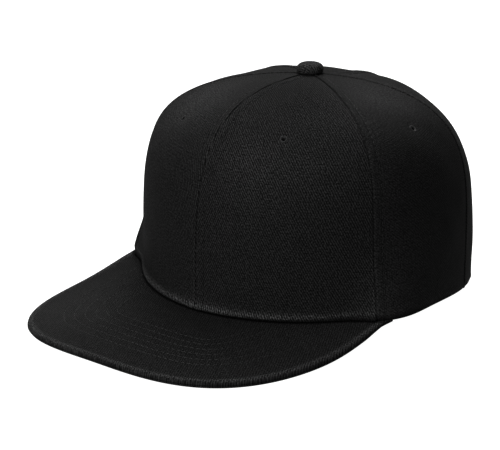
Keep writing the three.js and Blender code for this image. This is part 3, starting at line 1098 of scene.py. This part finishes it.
@dataclass
class Opening:
    """The half-moon opening at the back, with a turned hem round its edge."""

    form: CrownForm
    half_width: float = 35.0
    height: float = 48.0
    spring: float = 12.0
    hem: float = 5.2
    hem_proud: float = 0.38
    hem_overlap: float = 0.9
    hem_sides: int = 28
    stitch_from_edge: float = 1.9
    clear: float = 0.05
    cut_below: float = 12.0
    arch_steps: int = 97
    leg_steps: int = 12
    steps: int = 150

    def outline(self, grow: float = 0.0) -> np.ndarray:
        """Across and up along the arch: up one side to the spring, over a half ellipse, down the other.

        Args:
            grow: Margin outside the opening.

        Returns:
            Pairs of numbers in millimetres.
        """
        half, rise = self.half_width + grow, self.height - self.spring + grow
        turn = np.linspace(0.0, math.pi, self.arch_steps)
        arch = np.stack([half * np.cos(turn), self.spring + rise * np.sin(turn)], axis=-1)
        legs = np.linspace(0.0, self.spring, self.leg_steps, endpoint=False)
        left = np.stack([np.full_like(legs, half), legs], axis=-1)
        right = np.stack([np.full_like(legs, -half), legs[::-1]], axis=-1)
        return np.concatenate([left, arch, right])

    def cutter(self) -> Shell:
        """A bar of the arch's outline through the back wall only.

        Returns:
            The bar.
        """
        feet = np.array([[self.half_width, -self.cut_below], [-self.half_width, -self.cut_below]])
        outline = np.concatenate([feet[:1], self.outline(), feet[1:]])
        near, far = self.form.back_reach / 3.0, self.form.back_reach * 4.0 / 3.0
        height = outline[:, 1] - self.form.rest_depth
        rings = np.stack([
            np.stack([outline[:, 0], np.full(len(outline), depth), height], axis=-1) for depth in (near, far)
        ])
        return closed_tube(rings[:, ::-1], np.zeros(rings.shape[:2] + (2,)))

    def path(self, grow: float) -> tuple[np.ndarray, np.ndarray]:
        """The arch's outline, grown by a margin, on the crown's surface, with the normals there.

        Args:
            grow: Margin outside the opening.

        Returns:
            Points and unit normals.
        """
        outline = self.outline(grow)
        reached = lengths_along(outline, 0)
        at = np.linspace(0.0, reached[-1], self.steps)
        across, up = (np.interp(at, reached, outline[:, i]) for i in (0, 1))
        angle = np.broadcast_to(BACK_SWEEP, (self.steps, len(BACK_SWEEP)))
        height = np.broadcast_to((up - self.form.rest_depth)[:, None], angle.shape)
        width = self.form.point(angle, self.form.share_at_height(angle, height))[..., 0]
        column, _ = crossing(width / np.maximum(np.abs(across), 1e-3)[:, None], 1.0)
        found = BACK_SWEEP[0] + column * (BACK_SWEEP[-1] - BACK_SWEEP[0]) / (len(BACK_SWEEP) - 1)
        found = np.where(across < 0.0, 180.0 - found, found)
        share = self.form.share_at_height(found, up - self.form.rest_depth)
        points = self.form.point(found, share)
        points[:, 2] = np.maximum(points[:, 2], up - self.form.rest_depth)
        return points, self.form.normal(found, np.maximum(share, 0.002))

    def hem_shell(self) -> Shell:
        """The turned hem: a flat round-ended section that wraps the wall's edge, carried round the arch.

        The section is a superellipse of the fourth power, as wide as the hem and a little thicker than the
        wall on both faces.

        Returns:
            The closed hem.
        """
        points, out = self.path(self.hem / 2.0 - self.hem_overlap)
        ahead = unit(np.gradient(points, axis=0))
        side = unit(np.cross(out, ahead))
        turn = np.arange(self.hem_sides) * 2.0 * math.pi / self.hem_sides
        wide = self.hem / 2.0 * np.sign(np.cos(turn)) * np.abs(np.cos(turn)) ** 0.5
        thick = self.form.wall / 2.0 + self.hem_proud
        deep = thick * np.sign(np.sin(turn)) * np.abs(np.sin(turn)) ** 0.7 - self.form.wall / 2.0
        rings = points[:, None] + side[:, None] * wide[None, :, None] + out[:, None] * deep[None, :, None]
        rings[..., 2] = np.maximum(rings[..., 2], self.clear - self.form.rest_depth)
        run = np.broadcast_to(lengths_along(points, 0)[:, None], rings.shape[:2])
        round_section = np.broadcast_to(0.5 * np.arange(1, self.hem_sides + 1), rings.shape[:2])
        cloth = np.stack([round_section, run], axis=-1)
        return closed_tube(rings, cloth)

    def topstitch(self, sewing: Stitching) -> Shell:
        """One row of stitches along the hem, on its outer face.

        Args:
            sewing: The stitching.

        Returns:
            The threads.
        """
        points, out = self.path(self.hem - self.stitch_from_edge)
        kept = points[:, 2] > 3.0 - self.form.rest_depth
        return sewing.row((points + out * (self.hem_proud - self.clear))[kept], out[kept])


@dataclass
class Crown:
    """Six panels that meet at the top, sewn, pierced and topstitched."""

    form: CrownForm
    sewing: Stitching
    opening: Opening
    eyelets: tuple[Eyelet, Eyelet, Eyelet] = (Eyelet(-60.5, 0.44), Eyelet(1.8, 0.385), Eyelet(56.0, 0.5))
    lips: tuple[float, float, float] = (2.0, 0.4, 0.25)
    # Painted highlight above the rolled lower edge, for the front, side and back panels.
    lip_highlights: tuple[float, float, float] = (0.62, 0.12, 0.12)
    seam_swing: float = 0.85
    # Patches of painted light on the crown, and of painted shade where the amount is below 0.
    painted_light_patches: tuple[PaintedLightPatch, ...] = (
        PaintedLightPatch((-34.0, -42.0, 94.0), 25.0, 0.4),
        PaintedLightPatch((42.0, 4.0, 101.0), 24.0, 0.4),
        PaintedLightPatch((22.0, -23.0, 102.5), 26.0, -0.46),
        PaintedLightPatch((24.0, -66.0, 78.0), 19.0, 0.17),
        PaintedLightPatch((50.0, -52.0, 75.0), 14.0, 0.07),
        PaintedLightPatch((-20.0, -74.0, 55.0), 26.0, -0.18),
        PaintedLightPatch((69.0, -46.0, 45.0), 26.0, -0.12),
        PaintedLightPatch((77.0, -10.0, 76.0), 24.0, -0.3),
        PaintedLightPatch((84.0, 26.0, 45.0), 22.0, -0.28),
        PaintedLightPatch((55.0, 47.0, 90.0), 15.0, 0.3),
    )
    slacks: tuple[float, float, float] = (0.16, 0.42, 0.3)
    stitch_margins: tuple[float, float] = (2.5, 4.5)

    def panels(self) -> list[Panel]:
        """The left and the right panel of each pair, from the front to the back.

        Returns:
            Six panels.
        """
        made = []
        seams = self.form.seams
        for i, kind in enumerate(("front", "side", "back")):
            both = i != 1
            details = {
                "form": self.form,
                "lip": self.lips[i],
                "lip_highlight": self.lip_highlights[i],
                "slack": self.slacks[i],
                "painted_light_patches": self.painted_light_patches,
            }
            swings = ((0.0, -self.seam_swing), (-self.seam_swing, 0.0), (0.0, 0.0))[i]
            left = (seams[i], seams[i + 1])
            starts, ends = (True, i == 2) if both else (True, False)
            made.append(Panel(
                f"{kind}_panel_left", *left, eyelet=self.eyelets[i],
                stitched_start=starts, stitched_end=ends,
                start_shift=swings[0], end_shift=swings[1], **details,
            ))
            right = (180.0 - seams[i + 1], 180.0 - seams[i])
            made.append(Panel(
                f"{kind}_panel_right", *right, eyelet=self.eyelets[i].mirrored(),
                stitched_start=ends, stitched_end=starts,
                start_shift=-swings[1], end_shift=-swings[0], **details,
            ))
        return made

    def build(self, placement: Placement, steep: bpy.types.Material, slanted: bpy.types.Material,
              thread: bpy.types.Material) -> None:
        """Makes the panels, the hem, the topstitching and the eyelets.

        Args:
            placement: Sets the pieces down.
            steep: Twill for the front panels.
            slanted: Twill for the other panels and the hem.
            thread: Sewing thread.
        """
        stitches, bindings = [], []
        for panel in self.panels():
            cloth = steep if panel.name.startswith("front") else slanted
            piece = placement.make(f"{panel.name}_cloth", panel.shell(), cloth)
            cutters = [panel.eyelet.cutter(self.form)]
            if panel.name.startswith("back"):
                cutters.append(self.opening.cutter())
            placement.cut(piece, cutters)
            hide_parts(panel.name)
            stitches += self.clear_of_opening(panel.topstitches(self.sewing, *self.stitch_margins))
            bindings.append(panel.eyelet.binding(self.form, panel.dimple))
        hem = placement.make("back_opening_hem", self.opening.hem_shell(), slanted)
        stitches.append(self.opening.topstitch(self.sewing))
        for name, shells in (("crown_topstitching", stitches), ("eyelet_binding", bindings)):
            piece = placement.make(name, Shell.joined(shells), thread)

    def clear_of_opening(self, rows: list[Shell]) -> list[Shell]:
        """The rows without the stitches that would lie over the back opening or its hem.

        Args:
            rows: Rows of stitches.

        Returns:
            The rows with what stays of each.
        """
        kept = []
        margin = self.opening.hem + 1.0
        for row in rows:
            size = self.sewing.rings * self.sewing.sides + 2
            middle = row.points.reshape(-1, size, 3).mean(axis=1)
            up = middle[:, 2] + self.form.rest_depth - self.opening.spring
            rise = self.opening.height - self.opening.spring + margin
            wide = self.opening.half_width + margin
            inside = (middle[:, 0] / wide) ** 2 + (np.maximum(up, 0.0) / rise) ** 2
            stay = (middle[:, 1] < 0.0) | (inside > 1.0)
            count = int(stay.sum())
            points = row.points.reshape(-1, size, 3)[stay].reshape(-1, 3)
            kept.append(Shell(
                points, row.quads[: count * len(row.quads) // len(stay)],
                row.cloth[: len(points)], row.triangles[: count * len(row.triangles) // len(stay)],
            ))
        return kept


@dataclass
class Button:
    """The cloth-covered button on top: a flattened dome that rolls under at its edge, on a shank."""

    form: CrownForm
    seat: float = 0.3
    radius: float = 7.0
    height: float = 5.6
    widest: float = 2.1
    shank: float = 1.9
    shank_length: float = 2.6
    underside: float = 5.2
    sunk: float = 0.15
    pleat: float = 0.07
    pleats: int = 16
    segments: int = 96

    def shell(self) -> Shell:
        """Turned about the upright axis: a quarter superellipse above the widest line and one below it.

        Small pleats of the gathered cloth wave the lower quarter sixteen times round. The cloth position is
        the distance along the profile from the middle of the top, at the same angle.

        Returns:
            The closed button.
        """
        above = np.linspace(0.0, 0.996, 26) * math.pi / 2.0
        upper = np.stack([
            self.radius * np.cos(above) ** 0.72,
            self.widest + (self.height - self.widest) * np.sin(above) ** 0.86,
        ], axis=-1)
        below = np.linspace(1.0, 0.0, 12, endpoint=False) * math.pi / 2.0
        lower = np.stack([
            self.underside + (self.radius - self.underside) * np.cos(below) ** 0.8,
            self.widest * (1.0 - np.sin(below) ** 0.9) - self.sunk,
        ], axis=-1)
        stem = np.array([
            [0.02, -self.shank_length], [self.shank, -self.shank_length], [self.shank, -self.sunk],
        ])
        profile = np.concatenate([stem, lower, upper])
        turn = np.arange(self.segments) * 2.0 * math.pi / self.segments
        low = (1.0 - smooth_step(profile[:, 1], 0.3, self.widest + 1.0)) * (profile[:, 0] > self.shank + 1.1)
        radius = profile[:, :1] + self.pleat * np.cos(self.pleats * turn) * low[:, None]
        points = np.stack([
            radius * np.cos(turn),
            radius * np.sin(turn) + self.form.apex_shift,
            np.broadcast_to(profile[:, 1:] + self.form.height + self.seat, radius.shape),
        ], axis=-1)
        reached = lengths_along(profile[::-1], 0)[::-1, None]
        cloth = np.stack([reached * np.cos(turn), reached * np.sin(turn)], axis=-1)
        return closed_tube(points, cloth)

    def build(self, placement: Placement, cloth: bpy.types.Material) -> None:
        """Makes the button.

        Args:
            placement: Sets the piece down.
            cloth: Its twill.
        """
        piece = placement.make("button_cloth", self.shell(), cloth)
        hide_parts("button")


# The peak


@dataclass
class Peak:
    """The stiff, nearly flat peak: a top and an under cover with rounded edges and rows of topstitching."""

    form: CrownForm
    sewing: Stitching
    side_inset: float = 2.7
    length: float = 73.5
    side_length: float = 7.4
    squareness: float = 3.0
    bow: float = 1.67
    end_ease: float = 30.0
    cover: float = 1.4
    end_cover: float = 0.35
    end_taper: float = 22.0
    edge_proud: float = 0.4
    edge_bead: float = 0.35
    edge_radius: float = 1.35
    under_radius: float = 1.2
    # Painted highlight in a band beside the outline.
    edge_highlight: float = 0.55
    # Painted shade where the cover goes in under the crown.
    rim_shade: float = 0.8
    stitch_groove: float = 0.12
    rim_dip: float = 0.3
    slack: float = 0.16
    # Patches of painted light on the peak, and of painted shade where the amount is below 0.
    painted_light_patches: tuple[PaintedLightPatch, ...] = (
        PaintedLightPatch((20.0, -112.0, -4.0), 46.0, -0.18), PaintedLightPatch((-58.0, -118.0, -6.0), 42.0, 0.22),
    )
    tuck: float = 1.1
    turn_up: float = 3.0
    turn_in: float = 0.4
    seat: float = 0.3
    crowding: float = 0.55
    crowding_power: float = 2.2
    columns: int = 300
    rows: int = 96
    first_row: float = 18.2
    row_pitch: float = 5.4
    row_count: int = 6

    def outline(self) -> np.ndarray:
        """The top outline from the right end round the front to the left end, evenly spaced.

        In plan it is a superellipse quarter to each side, straight back to the ends. Its droop grows forwards
        and with the square of the distance from the middle, eases up to the rim at each end, and is scaled so
        that the lowest stretch rests on the surface.

        Returns:
            Points along the outline.
        """
        end = self.form.point(np.array([self.form.peak_end]), np.zeros(1))[0]
        half = end[0] - self.side_inset + self.edge_proud
        shoulder = end[1] - self.side_length
        depth = shoulder + self.form.front_reach + self.length + self.edge_proud
        end = end - self.tuck * self.form.normal(np.array([self.form.peak_end]), np.zeros(1), 1.0)[0]
        turn = np.linspace(math.pi, 0.0, 1201)
        power = 2.0 / self.squareness
        x = half * np.sign(np.cos(turn)) * np.abs(np.cos(turn)) ** power
        y = shoulder - depth * np.abs(np.sin(turn)) ** power
        x = np.concatenate([[-end[0]], x, [end[0]]])
        y = np.concatenate([[end[1]], y, [end[1]]])
        rim = self.form.rim_height(np.array([self.form.peak_end]))[0]
        near = bell(np.hypot(np.abs(x) - end[0], y - end[1]), self.end_ease)
        droop = -(y + self.form.front_reach) / self.length + self.bow * (x / half) ** 2
        end_droop = -(end[1] + self.form.front_reach) / self.length + self.bow * (end[0] / half) ** 2
        fall = droop - end_droop * near
        room = self.form.rest_depth - 2.0 * self.cover - 2.0 * self.seat
        per_fall = np.min(((room + rim * near) / np.where(fall > 0.0, fall, np.nan))[fall > 0.0])
        points = np.stack([x, y, rim * near - fall * per_fall - self.seat], axis=-1)
        reached = lengths_along(points, 0)
        at = np.linspace(0.0, reached[-1], self.columns + 1)
        return np.stack([np.interp(at, reached, points[:, i]) for i in range(3)], axis=-1)

    def top_grid(self, rows: int) -> tuple[np.ndarray, np.ndarray, np.ndarray]:
        """Straight lines from the outline to the crown's rim, a tuck under its wall and a turn up behind it.

        Args:
            rows: Number of steps from the outline to the rim.

        Returns:
            The points, rows by columns by 3, with each one's distance in plan from the outline and from the
            rim.
        """
        edge = self.outline()
        across = np.linspace(-1.0, 1.0, self.columns + 1)
        angle = -90.0 + (self.form.peak_end + 90.0) * np.abs(across)
        level = self.form.normal(angle, np.zeros_like(angle), 1.0)
        rim = self.form.point(angle, np.zeros_like(angle)) - self.tuck * level
        inside = rim - (self.form.wall + self.seat - self.tuck) * level
        for line in (rim, inside):
            line[:, 0] *= np.sign(across)
            line[:, 2] = self.form.rim_height(angle) - self.seat
        v = np.linspace(0.0, 1.0, rows + 1)
        share = (self.crowding * v**self.crowding_power + (1.0 - self.crowding) * v)[:, None, None]
        ruled = edge[None] * (1.0 - share) + rim[None] * share
        turned_up = inside - self.turn_in * level + np.array([0.0, 0.0, self.turn_up])
        points = np.concatenate([ruled, inside[None], turned_up[None]])
        flat = points[..., :2]
        dense = edge[:, :2]
        from_edge = np.empty(flat.shape[:2])
        from_rim = np.empty(flat.shape[:2])
        for i, line in enumerate(flat):
            from_edge[i] = np.linalg.norm(line[:, None] - dense[None], axis=-1).min(axis=1)
            from_rim[i] = np.linalg.norm(line[:, None] - rim[None, :, :2], axis=-1).min(axis=1)
        return points, from_edge, from_rim

    def thickness(self, edge: np.ndarray) -> np.ndarray:
        """Thickness of a cover along the outline, thinner at the two ends."""
        away = np.hypot(np.abs(edge[:, 0]) - np.abs(edge[0, 0]), edge[:, 1] - edge[0, 1])
        return self.end_cover + (self.cover - self.end_cover) * smooth_step(away, 0.0, self.end_taper)

    def stitch_distances(self) -> np.ndarray:
        """Distance of each stitch row from the outline."""
        return self.first_row + self.row_pitch * np.arange(self.row_count)

    def top_cover(self) -> tuple[Shell, list[Shell]]:
        """The top cover's shell and its rows of stitches.

        A low bead runs beside the outline, where the surface drops by a quarter circle. It sinks under each
        stitch row and dips where it goes in under the crown.

        Returns:
            The closed cover, and one shell for each row.
        """
        points, from_edge, from_rim = self.top_grid(self.rows)
        thick = self.thickness(points[0])
        edge_radius = np.minimum(thick, self.edge_radius)
        inside = np.clip(1.0 - from_edge / edge_radius, 0.0, 1.0)
        height = -edge_radius * (1.0 - np.sqrt(1.0 - inside**2))
        height = height + self.edge_bead * bell(from_edge - 2.4, 1.3) * (thick / self.cover)
        for distance in self.stitch_distances():
            height = height - self.stitch_groove * bell(from_edge - distance, 0.7)
        height = height - self.rim_dip * bell(from_rim, 1.6) * smooth_step(from_edge, 0.0, 4.0)
        x, y = points[..., 0], points[..., 1]
        waves = np.sin(0.08 * x + 0.05 * y + 0.7) * np.sin(0.06 * x - 0.09 * y)
        free = smooth_step(from_edge, 3.0, 14.0) * smooth_step(from_rim, 2.0, 10.0)
        height = height + self.slack * waves * free
        top = points.copy()
        top[..., 2] += height
        bottom = points.copy()
        bottom[..., 2] -= thick[None, :]
        rows = []
        normals = np.zeros_like(points)
        normals[..., 2] = 1.0
        for distance in self.stitch_distances():
            row, reached = crossing(from_edge[: self.rows + 1].T, distance)
            path = sampled(np.swapaxes(top[: self.rows + 1], 0, 1), row)[reached]
            clear = sampled(np.swapaxes(from_rim[: self.rows + 1, :, None], 0, 1), row)[reached, 0] > 1.8
            rows.append(self.sewing.row(path[clear], np.tile([0.0, 0.0, 1.0], (clear.sum(), 1))))
        # Painted highlight beside the outline, painted shade at the crown's lower edge, and the patches of
        # painted light and shade.
        painted_tone = self.edge_highlight * bell(from_edge - 2.0, 1.4) - self.rim_shade * bell(from_rim - 2.1, 0.8)
        painted_tone = painted_tone + PaintedLightPatch.total(self.painted_light_patches, points)
        cloth = np.concatenate([points[..., :2], painted_tone[..., None]], axis=-1)
        return closed_sheet(top, bottom, cloth), rows

    def under_cover(self) -> Shell:
        """The under cover, one seat below the top cover over the same outline, its lower edge rounded.

        Returns:
            The closed cover.
        """
        points, from_edge, _ = self.top_grid(48)
        thick = self.thickness(points[0])
        radius = np.minimum(thick, self.under_radius)
        inside = np.clip(1.0 - from_edge / radius, 0.0, 1.0)
        top = points.copy()
        top[..., 2] -= thick[None, :] + self.seat
        bottom = points.copy()
        bottom[..., 2] -= 2.0 * thick[None, :] + self.seat - radius * (1.0 - np.sqrt(1.0 - inside**2)) * 0.98
        return closed_sheet(top, bottom, points[..., :2])

    def build(self, placement: Placement, cloth: bpy.types.Material, thread: bpy.types.Material) -> None:
        """Makes both covers and the topstitching.

        Args:
            placement: Sets the pieces down.
            cloth: Twill for both covers.
            thread: Sewing thread.
        """
        shell, rows = self.top_cover()
        top = placement.make("peak_top_cloth", shell, cloth, crease=60.0)
        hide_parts("peak_top_cover")
        under = placement.make("peak_under_cloth", self.under_cover(), cloth, crease=60.0)
        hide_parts("peak_under_cover")
        stitches = placement.make("peak_topstitching", Shell.joined(rows), thread)


# The strap


@dataclass
class Strap:
    """The snap strap behind the opening, hidden in the photograph: one plain flat moulded band."""

    form: CrownForm
    height: float = 20.0
    thickness: float = 1.4
    reach: float = 46.0
    gap: float = 0.5
    steps: int = 120
    sides: int = 32
    squareness: tuple[float, float] = (0.35, 0.6)

    def lines(self, across: np.ndarray, up: np.ndarray, depth: float) -> np.ndarray:
        """Points a depth inside the crown's wall at distances across and up, all of one shape.

        Args:
            across: Distances across in millimetres.
            up: Distances above the surface.
            depth: Depth inside the wall and the gap.

        Returns:
            Points of the same shape.
        """
        width = self.form.point(BACK_SWEEP, np.zeros_like(BACK_SWEEP))[:, 0]
        found = np.interp(np.abs(across), width, BACK_SWEEP)
        found = np.where(across < 0.0, 180.0 - found, found)
        height = up - self.form.rest_depth
        share = self.form.share_at_height(found, height)
        points = self.form.point(found, share)
        points[..., 2] = height
        return points - self.form.normal(found, share, 1.0) * (self.form.wall + self.gap + depth)

    def band(self) -> Shell:
        """The band between an outer and an inner face, its long edges rounded by a superellipse.

        Returns:
            The closed band.
        """
        turns = np.arange(self.sides) * 2.0 * math.pi / self.sides
        across, turn = np.meshgrid(np.linspace(-self.reach, self.reach, self.steps), turns)
        across, turn = across.T, turn.T
        tall, flat = self.squareness
        up = self.height / 2.0 * (1.0 - np.sign(np.cos(turn)) * np.abs(np.cos(turn)) ** tall)
        deep = self.thickness / 2.0 * (1.0 - np.sign(np.sin(turn)) * np.abs(np.sin(turn)) ** flat)
        outside = self.lines(across, up, 0.0)
        inside = self.lines(across, up, self.thickness)
        share = (deep / self.thickness)[..., None]
        rings = outside * (1.0 - share) + inside * share
        return closed_tube(rings, np.stack([across, up], axis=-1))

    def build(self, placement: Placement, plastic: bpy.types.Material) -> None:
        """Makes the strap.

        Args:
            placement: Sets the piece down.
            plastic: Its plastic.
        """
        piece = placement.make("snap_strap_band", self.band(), plastic)
        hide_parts("snap_strap")


# Studio


@dataclass(frozen=True)
class SoftLight:
    """A square soft light aimed at a point, places in metres."""

    name: str
    place: tuple[float, float, float]
    aim: tuple[float, float, float]
    side: float
    watts: float

    def build(self) -> None:
        """Adds the light."""
        data = bpy.data.lights.new(self.name, "AREA")
        data.shape = "SQUARE"
        data.size = self.side
        data.energy = self.watts
        lamp = bpy.data.objects.new(self.name, data)
        lamp.location = self.place
        lamp.rotation_euler = (Vector(self.aim) - Vector(self.place)).to_track_quat("-Z", "Y").to_euler()
        bpy.context.scene.collection.objects.link(lamp)


@dataclass(frozen=True)
class Studio:
    """A pale floor, soft lights and the camera at the photograph's angle."""

    floor_side: float = 12.0
    focal_pixels: float = 1691.4
    picture_width: int = 500
    camera_place: tuple[float, float, float] = (0.54395, -0.64440, 0.29812)
    camera_aim: tuple[float, float, float] = (-0.01944, 0.00714, 0.03445)
    floor_tone: float = 0.1
    floor_glow: float = 1.0
    world_grey: float = 0.5
    tone_gamma: float = 0.75
    lights: tuple[SoftLight, ...] = (
        SoftLight("overhead_softbox", (0.0, 0.0, 1.6), (0.0, 0.0, 0.06), 1.2, 48.0),
        SoftLight("rear_left_softbox", (-0.82, 0.82, 1.3), (0.0, 0.0, 0.06), 0.9, 16.0),
        SoftLight("rear_softbox", (-0.41, 1.01, 1.36), (0.0, 0.0, 0.06), 0.8, 31.0),
        SoftLight("front_softbox", (0.0, -1.39, 1.04), (0.0, 0.0, 0.06), 0.8, 20.0),
        SoftLight("low_front_softbox", (0.16, -1.63, 0.5), (0.0, 0.0, 0.06), 0.8, 50.0),
    )

    def floor(self) -> None:
        """A large pale square under the cap."""
        half = self.floor_side / 2.0
        mesh = bpy.data.meshes.new("studio_floor")
        corners = [(-half, -half, 0.0), (half, -half, 0.0), (half, half, 0.0), (-half, half, 0.0)]
        mesh.from_pydata(corners, [], [(0, 1, 2, 3)])
        mesh.materials.append(Shader("pale_floor", {
            "Base Color": grey(self.floor_tone),
            "Roughness": 0.9,
            "Specular IOR Level": 0.0,
            "Emission Color": grey(self.floor_glow),
            "Emission Strength": 1.0,
        }).material)
        floor = bpy.data.objects.new("studio_floor", mesh)
        bpy.context.scene.collection.objects.link(floor)

    def camera(self) -> None:
        """A camera whose focal length in pixels holds for the picture's width."""
        data = bpy.data.cameras.new("photo_camera")
        data.sensor_width = 36.0
        data.lens = self.focal_pixels * data.sensor_width / self.picture_width
        camera = bpy.data.objects.new("photo_camera", data)
        camera.location = self.camera_place
        aim = Vector(self.camera_aim) - Vector(self.camera_place)
        camera.rotation_euler = aim.to_track_quat("-Z", "Y").to_euler()
        bpy.context.scene.collection.objects.link(camera)
        bpy.context.scene.camera = camera

    def build(self) -> None:
        """Sets up floor, lights, world, camera and a tone curve with a little contrast."""
        scene = bpy.context.scene
        world = bpy.data.worlds.new("studio_world")
        world.use_nodes = True
        world.node_tree.nodes["Background"].inputs["Color"].default_value = grey(self.world_grey)
        scene.world = world
        scene.view_settings.view_transform = "Standard"
        scene.view_settings.gamma = self.tone_gamma
        self.floor()
        for light in self.lights:
            light.build()
        self.camera()


def main() -> None:
    """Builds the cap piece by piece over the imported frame, then the studio."""
    logging.basicConfig(level=logging.INFO, format="%(name)s: %(message)s")
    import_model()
    form = CrownForm()
    button = Button(form)
    placement = Placement.from_button(form, button)
    steep = TwillFinish("twill_steep", Lean.STEEP, rib_share=0.8, speckle=1.0).material()
    slanted = TwillFinish("twill_slanted", Lean.DIAGONAL, rib_share=0.28).material()
    peak_twill = TwillFinish("twill_peak", Lean.FORWARD, rib_share=0.45).material()
    button_twill = TwillFinish(
        "twill_button", Lean.CROSSWISE, pitch=1.25, rib_tone=0.032, speckle=1.6,
    ).material()
    crown_thread = ThreadFinish("crown_thread", tone=0.0055).material()
    peak_thread = ThreadFinish("peak_thread").material()
    Crown(form, Stitching(), Opening(form)).build(placement, steep, slanted, crown_thread)
    button.build(placement, button_twill)
    Peak(form, Stitching()).build(placement, peak_twill, peak_thread)
    Strap(form).build(placement, MouldedFinish("moulded_black").material())
    Studio().build()


if __name__ == "__main__":
    main()
